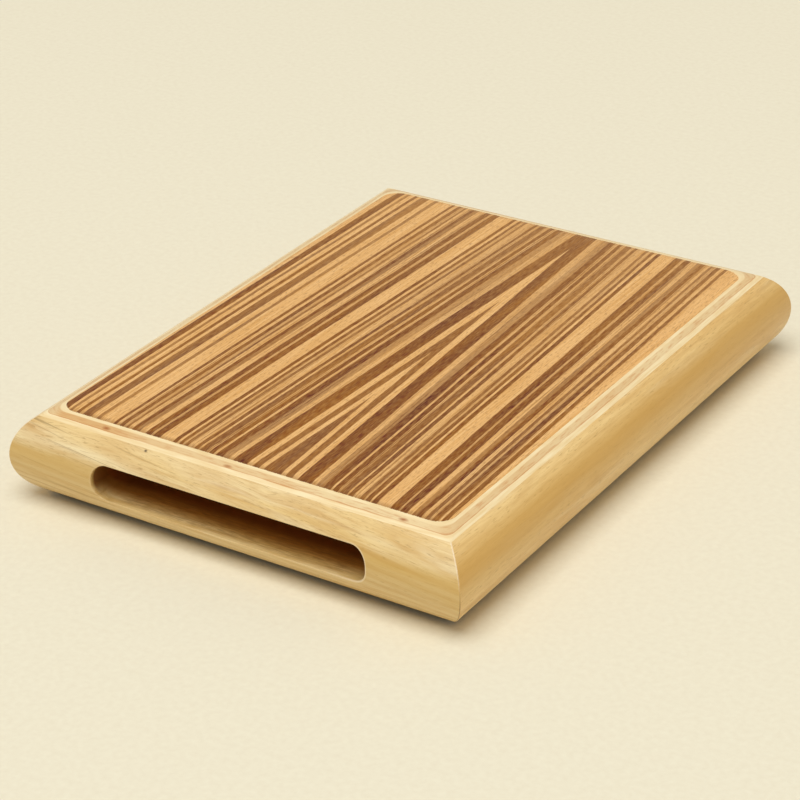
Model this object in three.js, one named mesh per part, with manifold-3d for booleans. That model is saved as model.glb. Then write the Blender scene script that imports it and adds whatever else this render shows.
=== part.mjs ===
// A lap cajon: a flat box drum that is played on the knees.
// Four mitred rails with a half-round outside carry a veneered playing board on top and a plywood
// panel below. Two pairs of steel strings buzz against the playing board, and two screws in the rear
// rail tighten them.
// Millimetres. +X runs along the slotted front end, +Y to the rear, +Z up. The origin is in the
// middle of the underside.

import * as THREE from 'three';
import { mergeVertices } from 'three/addons/utils/BufferGeometryUtils.js';
import Module from 'manifold-3d';

// The box
const BODY_WIDTH = 240;
const BODY_LENGTH = 310;
const BODY_HEIGHT = 45;
const EDGE_DEPTH = 22.5; // how far in from the side the rounded edge reaches
const RAIL_WIDTH = 28;
const VENEER_THICKNESS = 0.6;
const BOARD_THICKNESS = 2.8;
const BACK_THICKNESS = 3;
const FACE_CORNER_RADIUS = 10; // the playing face's corners, sanded round
const RIDGE_RADIUS = 0.6; // the ridge where two rails meet, barely eased
const GLUE_LINE = 0.2; // at each mitre

// The sound slot in the front rail
const SLOT_LENGTH = 146;
const SLOT_HEIGHT = 17.6;
const SLOT_CORNER_RADIUS = 8;
const SLOT_RISE = 0.5; // of its middle, above the middle of the box

// The loose tongues in the mitres
const SPLINE_LENGTH = 12;
const SPLINE_THICKNESS = 4;
const SPLINE_COVER = 2.4; // wood between a tongue and the inside of the box

// The snare strings and what holds them
const STRING_DIAMETER = 0.8;
const STRING_SPACING = 12; // between the two strings of a pair
const STOP_DIAMETER = 4;
const STOP_LENGTH = 4.5;
const ANCHOR_DEPTH = 12;
const ANCHOR_HEIGHT = 8;
const ANCHOR_OVERHANG = 12; // past the outermost string
const ANCHOR_HOLE_DROP = 4; // of the string holes below the playing board
const BAR_WIDTH = 12;
const BAR_HEIGHT = 14;
const BAR_SETBACK = 40; // of the bar's middle from the rear rail

// The tension screws and the blocks that they draw
const SCREW_SPACING = 80;
const SCREW_DIAMETER = 5;
const SCREW_PITCH = 0.8;
const SCREW_LENGTH = 30;
const HEAD_DIAMETER = 8.5;
const HEAD_HEIGHT = 5;
const SOCKET_ACROSS_FLATS = 4;
const SOCKET_DEPTH = 2.5;
const CHAMFER = 0.5; // on the screw's tip, the head's rim and the string stops
const WASHER_DIAMETER = 10;
const WASHER_THICKNESS = 1;
const HEAD_SINK = 0.9; // of the head below the rail's outermost line
const BLOCK_WIDTH = 20;
const BLOCK_DEPTH = 10;
const BLOCK_HEIGHT = 12;
const BLOCK_STRING_RISE = 3; // of the string holes above the screw
const BLOCK_STRING_DEPTH = 6;
const POCKET_DEPTH = 12; // in the rear rail, for the block
const TIGHTENING_TURNS = 3;

// Fits and facets
const CLEARANCE = 0.3; // round whatever slides, turns or is let in
const RUNNING_GAP = 0.1; // between a screw's head and its washer
const SPARE = 10; // by which a cut runs past what it cuts
const EDGE_STEPS = 24;
const CORNER_STEPS = 3;
const ARC_STEPS = 6; // in a quarter turn
const ROUND_SIDES = 16;
const STRING_SIDES = 8;
const HEX_SIDES = 6;
const GRID = 1e4; // corners sit on steps of 1/GRID mm, so that faces that meet share one plane

// Places that follow from the sizes above
const boardTop = BODY_HEIGHT - VENEER_THICKNESS;
const boardUnderside = boardTop - BOARD_THICKNESS;
const insideWidth = BODY_WIDTH - 2 * RAIL_WIDTH;
const insideFront = RAIL_WIDTH - BODY_LENGTH / 2;
const insideRear = BODY_LENGTH / 2 - RAIL_WIDTH;
const screwZ = BODY_HEIGHT / 2;
const headTopY = BODY_LENGTH / 2 - HEAD_SINK;
const headUnderY = headTopY - HEAD_HEIGHT;
const washerSeatY = headUnderY - RUNNING_GAP - WASHER_THICKNESS;
const pocketFloorY = insideRear + POCKET_DEPTH;
const blockMiddleY = pocketFloorY - CLEARANCE - TIGHTENING_TURNS * SCREW_PITCH - BLOCK_DEPTH / 2;
const stringRadius = STRING_DIAMETER / 2;
const anchorHoleZ = boardUnderside - ANCHOR_HOLE_DROP;
const barY = insideRear - BAR_SETBACK;
const barTop = boardUnderside - STRING_DIAMETER - 2 * CLEARANCE;
const SIDES = [
  { name: 'left', sign: -1 },
  { name: 'right', sign: 1 },
];

const AXIS = {
  x: new THREE.Vector3(1, 0, 0),
  y: new THREE.Vector3(0, 1, 0),
  z: new THREE.Vector3(0, 0, 1),
};

const wasm = await Module();
wasm.setup();

// A closed geometry as a solid that can be joined and cut.
function solid(geometry) {
  const bare = geometry.clone();
  bare.deleteAttribute('normal');
  bare.deleteAttribute('uv');
  const merged = mergeVertices(bare);
  return new wasm.Manifold(new wasm.Mesh({
    numProp: 3,
    vertProperties: merged.attributes.position.array,
    triVerts: Uint32Array.from(merged.index.array),
  }));
}

// A solid as a geometry again, with its corners on the grid.
function geometryOf(body) {
  const mesh = body.getMesh();
  const onGrid = Float32Array.from(mesh.vertProperties, (value) => Math.round(value * GRID) / GRID);
  const geometry = new THREE.BufferGeometry();
  geometry.setAttribute('position', new THREE.BufferAttribute(onGrid, 3));
  geometry.setIndex(new THREE.BufferAttribute(Uint32Array.from(mesh.triVerts), 1));
  geometry.computeVertexNormals();
  return geometry;
}

function subtractAll(body, cuts) {
  return cuts.reduce((rest, cut) => rest.subtract(solid(cut)), body);
}

// Convex rings with as many points each, joined into one skin and capped at both ends. Each ring runs
// anticlockwise for an eye that looks back along the loft.
function loft(rings) {
  const count = rings[0].length;
  const corners = rings.flat().flatMap((point) => [point.x, point.y, point.z]);
  const faces = [];
  for (let ring = 0; ring + 1 < rings.length; ring += 1) {
    for (let i = 0; i < count; i += 1) {
      const a = ring * count + i;
      const b = ring * count + (i + 1) % count;
      faces.push(a, b, b + count, a, b + count, a + count);
    }
  }
  const last = (rings.length - 1) * count;
  for (let i = 1; i + 1 < count; i += 1) {
    faces.push(0, i + 1, i, last, last + i, last + i + 1);
  }
  const geometry = new THREE.BufferGeometry();
  geometry.setAttribute('position', new THREE.Float32BufferAttribute(corners, 3));
  geometry.setIndex(faces);
  return geometry;
}

function box(low, high) {
  const size = high.clone().sub(low);
  const middle = low.clone().add(high).multiplyScalar(0.5);
  return new THREE.BoxGeometry(size.x, size.y, size.z).translate(middle.x, middle.y, middle.z);
}

// A round bar along Y.
function roundAlongY(diameter, fromY, toY, x, z) {
  const bar = new THREE.CylinderGeometry(diameter / 2, diameter / 2, toY - fromY, ROUND_SIDES);
  return bar.translate(x, (fromY + toY) / 2, z);
}

// An outline drawn in Y and Z, extruded along X about the middle of the box.
function extrudeAlongX(outline, length) {
  const geometry = new THREE.ExtrudeGeometry(outline, {
    depth: length, bevelEnabled: false, curveSegments: 2 * ARC_STEPS,
  });
  geometry.translate(0, 0, -length / 2);
  return geometry.applyMatrix4(new THREE.Matrix4().makeBasis(AXIS.y, AXIS.z, AXIS.x));
}

// The outside of the whole box: rounded rectangles stacked from the underside to the playing face.
// Their inset follows the half-round edge, and their corners, nearly sharp at the sides, open out to
// the faces' round corners over the thickness of the playing board.
function boxOutside() {
  const blendDepth = BODY_HEIGHT - boardUnderside;
  const rings = [];
  for (let step = 0; step <= EDGE_STEPS; step += 1) {
    const angle = (step / EDGE_STEPS - 0.5) * Math.PI;
    const z = (BODY_HEIGHT / 2) * (1 + Math.sin(angle));
    const inset = EDGE_DEPTH * (1 - Math.cos(angle));
    const depth = Math.min(z, BODY_HEIGHT - z);
    const opening = Math.max(0, 1 - depth / blendDepth);
    const radius = RIDGE_RADIUS + (FACE_CORNER_RADIUS - RIDGE_RADIUS) * opening;
    const outline = roundedRectangle(BODY_WIDTH / 2 - inset, BODY_LENGTH / 2 - inset, radius);
    rings.push(outline.getPoints(CORNER_STEPS).map((p) => new THREE.Vector3(p.x, p.y, z)));
  }
  return solid(loft(rings));
}

function roundedRectangle(halfX, halfY, radius) {
  const x = halfX - radius;
  const y = halfY - radius;
  const quarter = Math.PI / 2;
  const outline = new THREE.Shape();
  outline.absarc(x, y, radius, 0, quarter);
  outline.absarc(-x, y, radius, quarter, 2 * quarter);
  outline.absarc(-x, -y, radius, 2 * quarter, 3 * quarter);
  outline.absarc(x, -y, radius, 3 * quarter, 4 * quarter);
  return outline;
}

// A flat layer of the box between two heights.
function layer(fromZ, toZ) {
  const halfX = BODY_WIDTH / 2 + SPARE;
  const halfY = BODY_LENGTH / 2 + SPARE;
  return solid(box(new THREE.Vector3(-halfX, -halfY, fromZ), new THREE.Vector3(halfX, halfY, toZ)));
}

// The space of one rail, mitred at both ends, on the -Y side of a box of the given size, then turned
// to its own side.
function railSpace(across, along, quarterTurns) {
  const back = GLUE_LINE / Math.SQRT2;
  const outerHalf = along / 2 + SPARE - back;
  const innerHalf = along / 2 - RAIL_WIDTH - back;
  const outerY = -across / 2 - SPARE;
  const innerY = -across / 2 + RAIL_WIDTH;
  const plan = new THREE.Shape([
    new THREE.Vector2(-outerHalf, outerY),
    new THREE.Vector2(outerHalf, outerY),
    new THREE.Vector2(innerHalf, innerY),
    new THREE.Vector2(-innerHalf, innerY),
  ]);
  const space = new THREE.ExtrudeGeometry(plan, {
    depth: boardUnderside - BACK_THICKNESS, bevelEnabled: false,
  });
  return solid(space.translate(0, 0, BACK_THICKNESS).rotateZ(quarterTurns * Math.PI / 2));
}

// The round-cornered cut through the front rail.
function soundSlot() {
  const outline = roundedRectangle(SLOT_LENGTH / 2, SLOT_HEIGHT / 2, SLOT_CORNER_RADIUS);
  const cut = new THREE.ExtrudeGeometry(outline, {
    depth: RAIL_WIDTH + 2 * SPARE, bevelEnabled: false, curveSegments: ARC_STEPS,
  });
  cut.applyMatrix4(new THREE.Matrix4().makeBasis(AXIS.x, AXIS.z, AXIS.y.clone().negate()));
  return cut.translate(0, insideFront + SPARE, BODY_HEIGHT / 2 + SLOT_RISE);
}

// What a tension screw and its block need in the rear rail: the counterbore for washer and head, the
// hole for the shank, and the pocket that keeps the block from turning.
function screwSeat(x) {
  const pocketHalf = new THREE.Vector2(BLOCK_WIDTH, BLOCK_HEIGHT).multiplyScalar(0.5).addScalar(CLEARANCE);
  return [
    roundAlongY(WASHER_DIAMETER + 2 * CLEARANCE, washerSeatY, BODY_LENGTH / 2 + SPARE, x, screwZ),
    roundAlongY(SCREW_DIAMETER + 2 * CLEARANCE, insideRear - SPARE, BODY_LENGTH / 2 + SPARE, x, screwZ),
    box(
      new THREE.Vector3(x - pocketHalf.x, insideRear - SPARE, screwZ - pocketHalf.y),
      new THREE.Vector3(x + pocketHalf.x, pocketFloorY, screwZ + pocketHalf.y),
    ),
  ];
}

// A loose tongue lies square across each mitre, close to the inside of the box.
const splineInset = RAIL_WIDTH - SPLINE_COVER - (SPLINE_LENGTH + SPLINE_THICKNESS) / (2 * Math.SQRT2);
const CORNERS = ['front', 'rear'].flatMap((end, row) => SIDES.map((side) => {
  const endSign = row === 0 ? -1 : 1;
  return {
    name: `${end}_${side.name}`,
    position: new THREE.Vector3(
      side.sign * (BODY_WIDTH / 2 - splineInset),
      endSign * (BODY_LENGTH / 2 - splineInset),
      (BACK_THICKNESS + boardUnderside) / 2,
    ),
    turn: -side.sign * endSign * Math.PI / 4,
  };
}));

function splineSlots() {
  return CORNERS.map(({ position, turn }) => {
    const slot = new THREE.BoxGeometry(
      SPLINE_LENGTH + 2 * CLEARANCE, SPLINE_THICKNESS + 2 * CLEARANCE, BODY_HEIGHT,
    );
    return slot.rotateZ(turn).translate(position.x, position.y, position.z);
  });
}

function splineGeometry() {
  const height = boardUnderside - BACK_THICKNESS - 2 * CLEARANCE;
  return new THREE.BoxGeometry(SPLINE_LENGTH, SPLINE_THICKNESS, height);
}

// Where the strings lie across the box: a pair in line with each tension screw.
const PAIR_OFFSETS = [-STRING_SPACING / 2, STRING_SPACING / 2];
const STRING_PLACES = SIDES.flatMap(
  (side) => PAIR_OFFSETS.map((offset) => side.sign * SCREW_SPACING / 2 + offset),
);

// The cleat that the strings' front ends are drawn through. The stops sit in pockets on the side that
// is glued to the front rail.
function anchorGeometry() {
  const halfLength = (SCREW_SPACING + STRING_SPACING) / 2 + ANCHOR_OVERHANG;
  const body = solid(box(
    new THREE.Vector3(-halfLength, insideFront, boardUnderside - ANCHOR_HEIGHT),
    new THREE.Vector3(halfLength, insideFront + ANCHOR_DEPTH, boardUnderside),
  ));
  const stopPocket = STOP_DIAMETER + 2 * CLEARANCE;
  const stringHole = STRING_DIAMETER + 2 * CLEARANCE;
  const stopPocketEnd = insideFront + STOP_LENGTH + 2 * CLEARANCE;
  return geometryOf(subtractAll(body, STRING_PLACES.flatMap((x) => [
    roundAlongY(stopPocket, insideFront - SPARE, stopPocketEnd, x, anchorHoleZ),
    roundAlongY(stringHole, insideFront - SPARE, insideFront + ANCHOR_DEPTH + SPARE, x, anchorHoleZ),
  ])));
}

// The bar's rounded crown lifts the strings to the playing board.
function barGeometry() {
  const half = BAR_WIDTH / 2;
  const outline = new THREE.Shape();
  outline.moveTo(-half, barTop - BAR_HEIGHT);
  outline.lineTo(half, barTop - BAR_HEIGHT);
  outline.absarc(0, barTop - half, half, 0, Math.PI);
  return extrudeAlongX(outline, insideWidth).translate(0, barY, 0);
}

// The crossing point of the two tangents that a string follows over the bar's crown: one from the
// anchor, one on to the tension block.
function stringBend(front, rear) {
  const radius = BAR_WIDTH / 2 + CLEARANCE + stringRadius;
  const middle = new THREE.Vector2(barY, barTop - BAR_WIDTH / 2);
  const toFront = new THREE.Vector2(front.y, front.z).sub(middle);
  const toRear = new THREE.Vector2(rear.y, rear.z).sub(middle);
  const first = toFront.angle() - Math.acos(radius / toFront.length());
  const second = Math.atan2(toRear.y, toRear.x) + Math.acos(radius / toRear.length());
  const reach = radius / Math.cos((first - second) / 2);
  const angle = (first + second) / 2;
  return new THREE.Vector3(front.x, middle.x + reach * Math.cos(angle), middle.y + reach * Math.sin(angle));
}

// A string as a chain of round rings in the plane of its path, each square to the path there.
function stringGeometry(x) {
  const blockFrontY = blockMiddleY - BLOCK_DEPTH / 2;
  const holeZ = screwZ + BLOCK_STRING_RISE;
  const front = new THREE.Vector3(x, insideFront + STOP_LENGTH + 2 * CLEARANCE, anchorHoleZ);
  const mouth = new THREE.Vector3(x, blockFrontY - STRING_DIAMETER, holeZ);
  const end = new THREE.Vector3(x, blockFrontY + BLOCK_STRING_DEPTH, holeZ);
  const path = [front, stringBend(front, mouth), mouth, end];
  const rings = path.map((point, i) => {
    const before = path[Math.max(i - 1, 0)];
    const after = path[Math.min(i + 1, path.length - 1)];
    const along = after.clone().sub(point).normalize();
    along.add(point.clone().sub(before).normalize()).normalize();
    const upward = AXIS.x.clone().cross(along);
    return Array.from({ length: STRING_SIDES }, (_, side) => {
      const angle = (side / STRING_SIDES) * 2 * Math.PI;
      return point.clone()
        .addScaledVector(upward, stringRadius * Math.cos(angle))
        .addScaledVector(AXIS.x, stringRadius * Math.sin(angle));
    });
  });
  return loft(rings);
}

function stopGeometry() {
  const radius = STOP_DIAMETER / 2;
  const half = STOP_LENGTH / 2;
  return new THREE.LatheGeometry([
    new THREE.Vector2(0, -half),
    new THREE.Vector2(radius - CHAMFER, -half),
    new THREE.Vector2(radius, CHAMFER - half),
    new THREE.Vector2(radius, half - CHAMFER),
    new THREE.Vector2(radius - CHAMFER, half),
    new THREE.Vector2(0, half),
  ], ROUND_SIDES);
}

// The block turns the screw's turns into pull: the screw goes through its middle, and the strings end
// in two blind holes above.
function blockGeometry() {
  const body = solid(new THREE.BoxGeometry(BLOCK_WIDTH, BLOCK_DEPTH, BLOCK_HEIGHT));
  const front = -BLOCK_DEPTH / 2;
  const stringHole = STRING_DIAMETER + 2 * CLEARANCE;
  const stringHoleEnd = front + BLOCK_STRING_DEPTH + CLEARANCE;
  return geometryOf(subtractAll(body, [
    roundAlongY(SCREW_DIAMETER + 2 * CLEARANCE, front - SPARE, SPARE - front, 0, 0),
    ...PAIR_OFFSETS.map((offset) => roundAlongY(
      stringHole, front - SPARE, stringHoleEnd, offset, BLOCK_STRING_RISE,
    )),
  ]));
}

// A hex-socket cap screw along Y, its head's underside at zero and its tip towards the front.
function screwGeometry() {
  const shank = SCREW_DIAMETER / 2;
  const head = HEAD_DIAMETER / 2;
  const turned = new THREE.LatheGeometry([
    new THREE.Vector2(0, -SCREW_LENGTH),
    new THREE.Vector2(shank - CHAMFER, -SCREW_LENGTH),
    new THREE.Vector2(shank, CHAMFER - SCREW_LENGTH),
    new THREE.Vector2(shank, 0),
    new THREE.Vector2(head, 0),
    new THREE.Vector2(head, HEAD_HEIGHT - CHAMFER),
    new THREE.Vector2(head - CHAMFER, HEAD_HEIGHT),
    new THREE.Vector2(0, HEAD_HEIGHT),
  ], ROUND_SIDES);
  const socketRadius = SOCKET_ACROSS_FLATS / Math.sqrt(3);
  const socket = new THREE.CylinderGeometry(socketRadius, socketRadius, 2 * SOCKET_DEPTH, HEX_SIDES);
  return geometryOf(subtractAll(solid(turned), [socket.translate(0, HEAD_HEIGHT, 0)]));
}

function washerGeometry() {
  const inner = SCREW_DIAMETER / 2 + CLEARANCE;
  const outer = WASHER_DIAMETER / 2;
  return new THREE.LatheGeometry([
    new THREE.Vector2(inner, 0),
    new THREE.Vector2(outer, 0),
    new THREE.Vector2(outer, WASHER_THICKNESS),
    new THREE.Vector2(inner, WASHER_THICKNESS),
    new THREE.Vector2(inner, 0),
  ], ROUND_SIDES);
}

// Finishes
const ZEBRANO = { color: '#b9854f', roughness: 0.5 };
const PLYWOOD = { color: '#f1d9a5', roughness: 0.6 };
const BACK_PLYWOOD = { color: '#3d2519', roughness: 0.65 };
const RAIL_WOOD = { color: '#d8b272', roughness: 0.45 };
const HARDWOOD = { color: '#c79a63', roughness: 0.65 };
const STEEL = { color: '#b4b6b8', roughness: 0.3, metalness: 1 };
const BRASS = { color: '#c8a04e', roughness: 0.35, metalness: 1 };

const cajon = new THREE.Group();

function addPiece(name, geometry, finish, position = new THREE.Vector3()) {
  const mesh = new THREE.Mesh(geometry, new THREE.MeshStandardMaterial(finish));
  mesh.name = name;
  mesh.position.copy(position);
  cajon.add(mesh);
  return mesh;
}

const outside = boxOutside();
addPiece('tapa_veneer', geometryOf(outside.intersect(layer(boardTop, BODY_HEIGHT))), ZEBRANO);
addPiece('tapa_panel', geometryOf(outside.intersect(layer(boardUnderside, boardTop))), PLYWOOD);
addPiece('back_panel', geometryOf(outside.intersect(layer(0, BACK_THICKNESS))), BACK_PLYWOOD);

const RAILS = [
  { name: 'front_rail', across: BODY_LENGTH, along: BODY_WIDTH, cuts: [soundSlot()] },
  { name: 'right_rail', across: BODY_WIDTH, along: BODY_LENGTH, cuts: [] },
  {
    name: 'rear_rail',
    across: BODY_LENGTH,
    along: BODY_WIDTH,
    cuts: SIDES.flatMap((side) => screwSeat(side.sign * SCREW_SPACING / 2)),
  },
  { name: 'left_rail', across: BODY_WIDTH, along: BODY_LENGTH, cuts: [] },
];
RAILS.forEach(({ name, across, along, cuts }, quarterTurns) => {
  const blank = outside.intersect(railSpace(across, along, quarterTurns));
  addPiece(name, geometryOf(subtractAll(blank, [...cuts, ...splineSlots()])), RAIL_WOOD);
});

CORNERS.forEach(({ name, position, turn }) => {
  addPiece(`mitre_spline_${name}`, splineGeometry(), HARDWOOD, position).rotation.z = turn;
});

addPiece('front_anchor', anchorGeometry(), HARDWOOD);
addPiece('snare_bar', barGeometry(), HARDWOOD);
STRING_PLACES.forEach((x, i) => {
  const stopY = insideFront + CLEARANCE + STOP_LENGTH / 2;
  addPiece(`snare_string_${i + 1}`, stringGeometry(x), STEEL);
  addPiece(`string_stop_${i + 1}`, stopGeometry(), BRASS, new THREE.Vector3(x, stopY, anchorHoleZ));
});

SIDES.forEach(({ name, sign }) => {
  const at = (y) => new THREE.Vector3(sign * SCREW_SPACING / 2, y, screwZ);
  addPiece(`tension_block_${name}`, blockGeometry(), BRASS, at(blockMiddleY));
  addPiece(`tension_screw_${name}`, screwGeometry(), STEEL, at(headUnderY));
  addPiece(`screw_washer_${name}`, washerGeometry(), STEEL, at(washerSeatY));
});

export default cajon;
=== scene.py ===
# %% [markdown]
# A lap cajon is a flat box drum that lies on the player's knees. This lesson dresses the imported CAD
# model of one: the frame comes first, then each piece gets a finer surface where the CAD model is
# faceted, and each wood and metal gets a finish made of shader nodes.
# The frame is loaded before anything else, because every piece is placed by it.

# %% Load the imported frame
import math

import bpy
import numpy as np
from mathutils import Matrix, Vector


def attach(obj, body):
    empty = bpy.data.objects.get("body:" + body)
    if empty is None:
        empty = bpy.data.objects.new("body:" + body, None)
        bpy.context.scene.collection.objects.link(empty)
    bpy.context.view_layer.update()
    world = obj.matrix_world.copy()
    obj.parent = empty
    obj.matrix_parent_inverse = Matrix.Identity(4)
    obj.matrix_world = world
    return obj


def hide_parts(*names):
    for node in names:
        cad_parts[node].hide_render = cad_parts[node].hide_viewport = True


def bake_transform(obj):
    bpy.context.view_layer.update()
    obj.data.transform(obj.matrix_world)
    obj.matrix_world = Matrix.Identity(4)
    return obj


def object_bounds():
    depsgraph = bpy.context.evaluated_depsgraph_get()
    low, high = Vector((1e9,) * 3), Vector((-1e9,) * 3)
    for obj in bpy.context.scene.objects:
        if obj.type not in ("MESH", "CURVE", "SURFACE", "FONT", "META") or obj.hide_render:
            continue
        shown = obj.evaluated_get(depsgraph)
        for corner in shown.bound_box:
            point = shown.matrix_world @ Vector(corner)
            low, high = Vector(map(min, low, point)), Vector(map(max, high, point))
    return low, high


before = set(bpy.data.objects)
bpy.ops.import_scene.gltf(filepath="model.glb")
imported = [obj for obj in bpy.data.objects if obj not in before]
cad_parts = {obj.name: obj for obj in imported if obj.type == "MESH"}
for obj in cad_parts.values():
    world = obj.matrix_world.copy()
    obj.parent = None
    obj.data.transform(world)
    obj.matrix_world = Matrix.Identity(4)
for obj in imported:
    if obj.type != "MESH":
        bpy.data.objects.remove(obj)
cad_low, cad_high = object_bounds()
print("CAD nodes:", len(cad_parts), "box in mm:", [round(1000 * v, 1) for v in cad_high - cad_low])

# %% [markdown]
# A maker works in millimetres, and Blender in metres, so all sizes here are millimetres and are turned
# to metres once, when a mesh is made. Length, width and height come from the CAD box.
# The rails are turned to a half round outside, so the edge is as deep as half the height.

# %% Sizes of the box, in millimetres
MM = 0.001
WIDTH, LENGTH, HEIGHT = ((cad_high - cad_low) / MM)
EDGE_RADIUS = HEIGHT / 2
RAIL_WIDTH = 28.0
VENEER = 0.6
BOARD = 2.8
BACK = 3.0
FACE_CORNER = 10.0  # the playing face's corners, sanded round
RIDGE = 0.6  # the ridge where two rails meet, barely eased
GLUE_LINE = 0.03  # what shows of the glue, on each side of a mitre

BOARD_TOP = HEIGHT - VENEER
RAIL_TOP = BOARD_TOP - BOARD
RAIL_LOW = BACK
print("rails stand from", RAIL_LOW, "to", RAIL_TOP, "mm")

# %% [markdown]
# The whole outside is one shape: a rectangle whose edge is a half circle, seen from the side. At a
# height z, the outline has moved in by the sagitta of that circle. Where two rails meet there is a
# nearly sharp ridge, which the sander opened into round corners towards the two faces.
# Two short functions of z hold all of that, so that every piece follows the same outside.


# %% The half-round edge as functions of height
def edge_inset(z):
    """How far the outside lies in from the outermost line at height z: the radius, less the
    square root of the radius squared less the distance from mid-height squared."""
    return EDGE_RADIUS - np.sqrt(np.maximum(EDGE_RADIUS**2 - (z - HEIGHT / 2) ** 2, 0))


def ridge_radius(z):
    """The corner radius of the outline: the ridge's, plus a share of the rest that grows evenly
    from none at the board's underside to all of it at the face."""
    depth = np.minimum(z, HEIGHT - z)
    opening = np.clip(1 - depth / (HEIGHT - RAIL_TOP), 0, 1)
    return RIDGE + (FACE_CORNER - RIDGE) * opening


print("inset at the veneer's edge:", round(float(edge_inset(BOARD_TOP)), 2), "mm")

# %% [markdown]
# Every new piece is a grid of points worked out by numpy. Blender could build such shapes with
# modifiers too, but a formula keeps each surface exactly where the CAD model has it.
# Helpers number the quads of a grid, and put a piece into the scene with the CAD node that it stands
# for, the body that it moves with and its finish.

# %% Grids and pieces
SHARP_ANGLE = math.radians(32)
PER_CUBIC_METRE = 1e6  # cubic centimetres


def grid_quads(rows, columns, close_rows=False):
    """The quads of a grid whose columns close into a ring: each point with its neighbour in the
    row, and with the same two in the next row."""
    r = np.arange(rows if close_rows else rows - 1)[:, None]
    c = np.arange(columns)[None, :]
    r2, c2 = (r + 1) % rows, (c + 1) % columns
    corners = (r * columns + c, r * columns + c2, r2 * columns + c2, r2 * columns + c)
    return np.stack(np.broadcast_arrays(*corners), -1).reshape(-1, 4)


def capped_quads(rows, columns):
    """The quads of a stack of rings, and a face that closes the first ring and the last."""
    last = (rows - 1) * columns
    caps = [list(range(columns))[::-1], list(range(last, last + columns))]
    return grid_quads(rows, columns).tolist() + caps


def make_mesh(name, points, faces, finish):
    """A smooth-shaded mesh object from points in millimetres, sharp where faces turn hard."""
    mesh = bpy.data.meshes.new(name)
    mesh.from_pydata((points.reshape(-1, 3) * MM).tolist(), [], faces)
    mesh.materials.append(finish)
    mesh.shade_smooth()
    mesh.set_sharp_from_angle(angle=SHARP_ANGLE)
    piece = bpy.data.objects.new(name, mesh)
    bpy.context.scene.collection.objects.link(piece)
    return piece


def enclosed_volume(mesh):
    """Cubic centimetres inside a closed mesh: a sixth of the sum of each triangle's triple product,
    which is above zero when the faces point outwards."""
    mesh.calc_loop_triangles()
    corners = ([mesh.vertices[i].co for i in triangle.vertices] for triangle in mesh.loop_triangles)
    return sum(a.dot(b.cross(c)) for a, b, c in corners) / 6 * PER_CUBIC_METRE


def add_piece(name, node, slot, points, faces, finish, body="box"):
    """A piece that stands for a CAD node, moves with a body and takes a finish. Its slot is not used.
    """
    piece = make_mesh(name, points, faces, finish)
    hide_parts(node)
    if body:
        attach(piece, body)
    print(name, "faces:", len(piece.data.polygons), "cm3:", round(enclosed_volume(piece.data), 2))
    return piece


# %% [markdown]
# Finishes are shader nodes. Colours are written as sRGB hex, as a paint chart gives them, and turned
# to the linear values that Blender works in. One function adds a node: its settings first, because
# they decide which sockets are switched on, then its inputs, which are numbers or links.


# %% Colours and nodes
def linear(code):
    """An sRGB hex colour as linear red, green, blue and alpha."""
    srgb = np.array([int(code[i : i + 2], 16) for i in (1, 3, 5)]) / 255
    rgb = np.where(srgb <= 0.04045, srgb / 12.92, ((srgb + 0.055) / 1.055) ** 2.4)
    return (*rgb.tolist(), 1.0)


def add_node(tree, kind, inputs=(), **settings):
    """Adds a node. Inputs go to the sockets that are switched on, in order or by name: a node links
    its first switched-on output, a socket links itself, and anything else is a value."""
    node = tree.nodes.new("ShaderNode" + kind)
    for name, value in settings.items():
        setattr(node, name, value)
    shown = [socket for socket in node.inputs if socket.enabled]
    named = inputs.items() if isinstance(inputs, dict) else enumerate(inputs)
    for key, value in named:
        socket = node.inputs[key] if isinstance(key, str) else shown[key]
        if isinstance(value, bpy.types.Node):
            value = next(output for output in value.outputs if output.enabled)
        if isinstance(value, bpy.types.NodeSocket):
            tree.links.new(value, socket)
        else:
            socket.default_value = value
    return node


def new_finish(name, roughness, **constants):
    """A material with its node tree, its shader, and a node that gives the place on the object in
    millimetres. Constants are set on the shader's own sockets."""
    finish = bpy.data.materials.new(name)
    finish.use_nodes = True
    tree = finish.node_tree
    shader = tree.nodes["Principled BSDF"]
    shader.inputs["Roughness"].default_value = roughness
    for socket, value in constants.items():
        shader.inputs[socket.replace("_", " ")].default_value = value
    where = add_node(tree, "TexCoord").outputs["Object"]
    place = add_node(tree, "VectorMath", [where, 1 / MM], operation="SCALE")
    return finish, tree, shader, place


print("mid grey in linear values:", round(linear("#808080")[0], 3))

# %% [markdown]
# Grain, fibres and pores are noise that is much longer one way than the other, so a helper stretches
# a noise to a size in millimetres. Another lays a colour over the wood, as a stain does.


# %% Noise, layers and surface
def stretched_noise(tree, place, size, detail, *limits, **inputs):
    """Noise whose blotches have about a size in millimetres along X, Y and Z, and an endless size
    leaves it the same all along. With two limits it rises from 0 to 1 between those values of the
    noise, and with four it rises from the third to the fourth."""
    scale = [1 / length for length in size]
    stretched = add_node(tree, "VectorMath", [place, scale], operation="MULTIPLY")
    noise = add_node(tree, "TexNoise", {"Vector": stretched, "Scale": 1, "Detail": detail, **inputs})
    return add_node(tree, "MapRange", [noise, *limits]) if limits else noise


def layer(tree, wood, colour, share, *limits):
    """The wood with a colour laid over it, as far as its share times all the limits."""
    for limit in limits:
        share = add_node(tree, "Math", [share, limit], operation="MULTIPLY")
    return add_node(tree, "Mix", [share, wood, linear(colour)], data_type="RGBA")


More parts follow.
